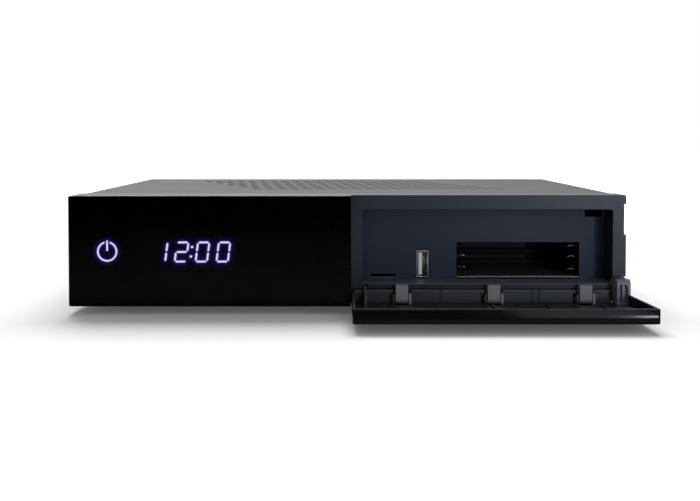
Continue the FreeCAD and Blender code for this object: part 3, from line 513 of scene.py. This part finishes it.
def screw_cross(a, r, t):
    """Depth of a cross recess: two crossed bars of 0.85 by 3.2 mm with sloping walls, in the head's top only."""
    u, v = r * np.cos(t), r * np.sin(t)
    arms = [np.clip((0.55 - abs(across)) / 0.25, 0, 1) * np.clip((1.75 - abs(along)) / 0.3, 0, 1)
            for across, along in ((u, v), (v, u))]
    return np.where(a > 0.75, -0.85 * np.maximum(*arms), 0)


# Cover screws: a domed head with a cross recess, on a plain shank.
head = [(r, 0.8 + 1.0 * math.sqrt(1 - (r / 2.85) ** 2)) for r in np.linspace(0, 2.7, 28)]
screw_profile = head + [(2.8, 0.7), (2.8, 0.1), (2.7, 0), (1.5, 0), (1.5, -5.5), (1.0, -6.0), (0, -6.0)]
head_radius = 2.8 * MM
low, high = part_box("cover_screws")
screw_x = (low.x + head_radius, (low.x + high.x) / 2, high.x - head_radius)
screw_at = [(x, rear_y, high.z - head_radius) for x in screw_x]
surface("pan_head_screws", turned(screw_profile, screw_at, "y", 72, screw_cross), finishes["screw_steel"],
        "chassis", "screw_steel", "cover_screws")


# ---- Rear sockets ----

flange_radius = 5.2 * MM
low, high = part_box("f_sockets")
barrel_at = [(x, rear_y, (low.z + high.z) / 2) for x in (low.x + flange_radius, high.x - flange_radius)]


def threaded(centers):
    """Barrels whose radius is 4.5 + 0.18 * cos(2 pi * place / 0.8 - angle), faded out at both ends."""
    a = np.linspace(2.2, 10.6, 106)
    t = np.linspace(0, TAU, 48, endpoint=False)
    fade = np.clip((a - 2.2) / 0.6, 0, 1) * np.clip((10.6 - a) / 0.6, 0, 1)
    r = 4.5 + 0.18 * fade[:, None] * np.cos(TAU * a[:, None] / 0.8 - t[None])
    foot = [(3.4, -5), (5.1, -5), (5.2, -4.9), (5.2, 1.3), (5.0, 1.5), (4.5, 1.5)]
    lip = [(4.2, 11), (3.6, 11), (3.4, 10.8), (3.4, -5)]
    before, after = (turned(p, [(0, 0, 0)], "y", 48)[0] for p in (foot, lip))
    flank = np.stack([r * np.cos(t), a[:, None] + 0 * r, r * np.sin(t)], -1) * MM
    local = np.concatenate([before, flank, after])
    return np.asarray(centers, float)[:, None, None, :] + local[None]


surface("threaded_barrels", threaded(barrel_at), finishes["nickel"], "chassis", "nickel", "f_sockets")

# Phono sockets, from the left one seen from behind: a nickel sleeve round a coloured collar.
sleeve_radius = 4.4 * MM
low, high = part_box("phono_sockets")
phono_x = np.linspace(high.x - sleeve_radius, low.x + sleeve_radius, 3)
phono_at = [(x, rear_y, (low.z + high.z) / 2) for x in phono_x]
sleeve = [(3.75, -1.3), (4.4, -1.3), (4.4, 0.9), (4.3, 1.0), (4.15, 1.1), (4.15, 8.7), (4.0, 9.0), (3.85, 9.0),
          (3.75, 8.8), (3.75, -1.3)]
surface("phono_sleeves", turned(sleeve, phono_at, "y"), finishes["nickel"], "chassis", "nickel", "phono_sockets")
collar = [(1.65, -10), (4.15, -10.5), (4.15, -1.3), (3.75, -1.2), (3.75, 8.0), (3.5, 8.3), (2.1, 8.3),
          (1.65, 7.9), (1.65, -10)]
collar_colors = {"yellow": (0.75, 0.45, 0.02), "white": (0.7, 0.7, 0.66), "red": (0.5, 0.02, 0.015)}
for (label, color), place in zip(collar_colors.items(), phono_at):
    finish = polished(f"phono collar {label}", color, 0.3)
    surface(f"phono_collar_{label}", turned(collar, [place], "y"), finish, "chassis", "phono_plastic")

# Eight jack wires, which rise towards the mouth by 2.6 * sin(place / 9 * pi / 2)^2 mm.
wire_pitch = 1.1 * MM
low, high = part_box("network_jack")
s = np.linspace(0, 10, 24)
wire_path = np.stack([0 * s, s - 13, 0.6 + 2.6 * np.sin(np.clip(s / 9, 0, 1) * math.pi / 2) ** 2], -1)
wire_at = [((low.x + high.x) / 2 + (k - 3.5) * wire_pitch, rear_y, low.z + 3.2 * MM) for k in range(8)]
surface("jack_wires", carried(wire_path, strip(0.23, 0.2, 12, 1.0), wire_at), finishes["brass_plate"], "chassis",
        "brass_plate", "network_contacts")


# ---- USB contacts and card clips ----


def spring_path(low, high):
    """A USB contact spring as long as the box from low to high, seen from its side, in mm.

    The height at s from the mouth is 0.05 + 0.55 * exp(-((s - 2.2) / 1.5)^2) - 0.1 * exp(-(s / 0.5)^2):
    flat, with a crest near the mouth and a dip at the tip.
    """
    s = np.linspace(0, (high.y - low.y) / MM, 30)
    return s, 0.05 + 0.55 * np.exp(-((s - 2.2) / 1.5) ** 2) - 0.1 * np.exp(-(s / 0.5) ** 2)


spring_section = strip(0.5, 0.1, 12)
spring_steps = [(0.6 + 2.4 * k) * MM for k in range(4)]
low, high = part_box("front_usb_contacts")
s, rise = spring_path(low, high)
front_spring = np.stack([rise, s, 0 * s], -1)
front_at = [(low.x + 0.15 * MM, low.y, low.z + step) for step in spring_steps]
surface("front_usb_springs", carried(front_spring, spring_section, front_at, (0, 0, 1)),
        finishes["brass_plate"], "chassis", "brass_plate", "front_usb_contacts")

low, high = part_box("rear_usb_contacts")
s, rise = spring_path(low, high)
rear_spring = np.stack([0 * s, -s, rise], -1)
rear_at = [(low.x + step, high.y, low.z + 0.15 * MM) for step in spring_steps]
surface("rear_usb_springs", carried(rear_spring, spring_section, rear_at), finishes["brass_plate"],
        "chassis", "brass_plate", "rear_usb_contacts")

# Two spring leaves of the front USB shell, which bow in by 0.85 * sin(pi * place / 9)^2 mm.
low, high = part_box("front_usb_shell")
s = np.linspace(0, 9, 24)
leaf = np.stack([2.45 - 0.85 * np.sin(math.pi * s / 9) ** 2, 1.0 + s, 0 * s], -1)
leaf_at = [((low.x + high.x) / 2, low.y, low.z + up * MM) for up in (3.5, 9.9)]
surface("usb_shell_leaves", carried(leaf, strip(1.4, 0.1, 12), leaf_at, (0, 0, 1)), finishes["nickel"],
        "chassis", "nickel")

# Card clips, two at the left end and three at the right: small arches of 0.55 * cos(place / 1.6 * pi / 2) mm.
low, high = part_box("card_cage")
card_left = low.x + 1.2 * MM
card_right = high.x - 1.2 * MM
clip_y = front_y + 27.4 * MM
clip_at = [(card_left + 3.0 * MM, clip_y, front_low + up * MM) for up in (15.5, 21.2)]
clip_at += [(card_right - 3.2 * MM, clip_y, front_low + up * MM) for up in (14.3, 20.7, 26.0)]
s = np.linspace(-1.6, 1.6, 16)
clip = np.stack([s, 0 * s, 0.1 + 0.55 * np.cos(s / 1.6 * math.pi / 2)], -1)
surface("card_clips", carried(clip, strip(0.9, 0.14, 12), clip_at, (0, 1, 0)), clip_tin, "chassis", "nickel")

# The sill under the card opening, pale as a painted highlight: straight, and bent down by a superellipse at
# both ends.
sill_x = np.linspace(-30.6, 30.6, 40)
sill_path = np.stack([sill_x, 0 * sill_x, 0.35 * (np.sqrt(1 - (sill_x / 31.5) ** 8) - 1)], -1)
sill_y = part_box("bay_panel")[0].y + 1.2 * MM
sill_at = [((card_left + card_right) / 2, sill_y, front_low + 11.25 * MM)]
surface("card_sill", carried(sill_path, strip(1.0, 0.24), sill_at, (0, 1, 0)), sill_highlight_plastic,
        "chassis", "bay_plastic")


# ---- Stray light in the window round the lit digits and the standby symbol ----


def lit_points(node):
    """Points spread over the front of a lit node: 28 in each of its front triangles."""
    mesh = nodes[node].data
    mesh.calc_loop_triangles()
    corners = np.array([[mesh.vertices[v].co for v in tri.vertices] for tri in mesh.loop_triangles
                        if tri.normal.y < -0.9])
    mixes = np.array([(a, b, 6 - a - b) for a in range(7) for b in range(7 - a)]) / 6
    return np.einsum("mk,tkc->tmc", mixes, corners).reshape(-1, 3)[:, [0, 2]]


def halo(name, node, low, high):
    """A sheet in the window that reaches 6 mm past the box of a lit node, with points every 0.4 mm.

    Its glow at a distance d from the lit points is 0.2 * exp(-(d / 0.8 mm)^2) + 0.045 * exp(-(d / 2 mm)^2)
    less 0.002, so it ends 3.5 mm from them.
    """
    reach, pitch = 6 * MM, 0.4 * MM
    x, z = np.meshgrid(np.arange(low.x - reach, high.x + reach, pitch),
                       np.arange(low.z - reach, high.z + reach, pitch), indexing="ij")
    lit = lit_points(node)
    flat = np.stack([x.ravel(), z.ravel()], -1)
    d = np.sqrt(((flat[:, None] - lit[None]) ** 2).sum(-1).min(1)) / MM
    glow = 0.2 * np.exp(-(d / 0.8) ** 2) + 0.045 * np.exp(-(d / 2.0) ** 2) - 0.002
    points = np.stack([x, np.full_like(x, front_y + 2.9 * MM), z], -1)
    surface(name, points[None], stray_light, "chassis", "glow_digit", wrap=False, glow=np.clip(glow, 0, 1))


stray_light = halo_light("stray display light", (0.13, 0.09, 0.9), 1.2)
halo("digit_halo", "clock_digits", *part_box("clock_digits"))
halo("symbol_halo", "standby_symbol", *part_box("standby_symbol"))


# ---- Room, light and camera ----


def floor():
    """A wide white floor.

    Straight to the camera it adds light of its own, more of it farther out, where the lamps don't reach, so
    that only the object's shadow dims it. Mirrored in the object, it goes darker with the distance.
    """
    half = 6.0
    white = (0.86, 0.86, 0.86)
    mesh = bpy.data.meshes.new("floor")
    mesh.from_pydata([(-half, -half, 0), (half, -half, 0), (half, half, 0), (-half, half, 0)], [], [(0, 1, 2, 3)])
    made = bpy.data.objects.new("floor", mesh)
    bpy.context.scene.collection.objects.link(made)
    f = Finish("white floor", white, 0.7)
    away = f.node("VectorMath", {0: f.place}, operation="LENGTH").outputs["Value"]
    ray = f.node("LightPath").outputs
    mirrored = f.shades(f.spread(away, 0.14, 0.6), (0.8, 0.8, 0.8), (0.12, 0.12, 0.12))
    f.feed("Base Color", f.shades(ray["Is Glossy Ray"], white, mirrored))
    f.feed("Emission Color", (1.0, 1.0, 1.0, 1.0))
    own_light = f.spread(away, 0.2, 1.0, 0.07, 0.85)
    f.feed("Emission Strength", f.join(ray["Is Camera Ray"], own_light, "MULTIPLY"))
    mesh.materials.append(f.material)


def softbox(name, place, target, width, height, power, tint=(1, 1, 1)):
    """A rectangular lamp that shines from its place at a target; the camera doesn't see it."""
    light = bpy.data.lights.new(name, "AREA")
    light.shape = "RECTANGLE"
    light.size = width
    light.size_y = height
    light.energy = power
    light.color = tint
    made = bpy.data.objects.new(name, light)
    made.location = place
    made.rotation_euler = (Vector(target) - Vector(place)).to_track_quat("-Z", "Y").to_euler()
    made.visible_camera = False
    bpy.context.scene.collection.objects.link(made)


def room():
    """The world round the object.

    Gloss and glass see it white behind the receiver, dim in front and dimmer towards the right. Matt surfaces
    take an even light from it, and straight to the camera all of it is white.
    """
    world = bpy.data.worlds.new("room")
    bpy.context.scene.world = world
    world.use_nodes = True
    tree = world.node_tree
    back = tree.nodes["Background"]
    back.inputs["Color"].default_value = (1.0, 1.0, 1.0, 1.0)

    def join(operation, a, b):
        made = tree.nodes.new("ShaderNodeMath")
        made.operation = operation
        for socket, value in zip(made.inputs, (a, b)):
            if isinstance(value, bpy.types.NodeSocket):
                tree.links.new(value, socket)
            else:
                socket.default_value = value
        return made.outputs[0]

    def ramp(value, curve, **limits):
        made = tree.nodes.new("ShaderNodeMapRange")
        made.interpolation_type = curve
        tree.links.new(value, made.inputs["Value"])
        for key, limit in limits.items():
            made.inputs[key.replace("_", " ")].default_value = limit
        return made.outputs[0]

    way = tree.nodes.new("ShaderNodeSeparateXYZ")
    tree.links.new(tree.nodes.new("ShaderNodeTexCoord").outputs["Generated"], way.inputs[0])
    to_back = ramp(way.outputs["Y"], "SMOOTHSTEP", From_Min=-0.3, From_Max=0.5, To_Min=0.03, To_Max=0.9)
    to_right = ramp(way.outputs["X"], "LINEAR", From_Min=-0.3, From_Max=0.4, To_Min=1.0, To_Max=0.55)
    ray = tree.nodes.new("ShaderNodeLightPath").outputs
    mirrored = join("MAXIMUM", ray["Is Glossy Ray"], ray["Is Transmission Ray"])
    shown = join("MULTIPLY", join("MULTIPLY", mirrored, to_back), to_right)
    even = join("MULTIPLY", join("SUBTRACT", 1.0, mirrored), 0.31)
    light = join("MAXIMUM", join("MAXIMUM", ray["Is Camera Ray"], shown), even)
    tree.links.new(light, back.inputs["Strength"])


def camera():
    """The eye stands 463 mm before the front, a little over the case, and tips down by two degrees."""
    data = bpy.data.cameras.new("eye")
    data.lens = 49.77
    data.sensor_width = 36
    data.shift_x = 0.0114
    data.shift_y = -0.1129
    made = bpy.data.objects.new("eye", data)
    made.location = (-0.0034, front_y - 0.463, 0.0853)
    made.rotation_euler = (math.radians(88), 0, 0)
    bpy.context.scene.collection.objects.link(made)
    bpy.context.scene.camera = made


floor()
room()
# The top light stands behind and gives the soft shadow in front; the front light shades the frame from left to
# right; the low light is small and gives the flap's rim its highlight.
cool = (0.86, 0.97, 1.13)
softbox("top light", (0.0, 0.65, 1.16), (0, 0, 0), 1.3, 0.8, 21)
softbox("front light", (0.36, -1.15, 0.35), (0.06, -0.1, 0.03), 0.2, 0.6, 1.75, cool)
softbox("low light", (0.44, -1.08, 0.1), (0.13, -0.13, 0.0), 0.03, 0.06, 0.85, cool)
camera()
bpy.context.scene.view_settings.view_transform = "Standard"
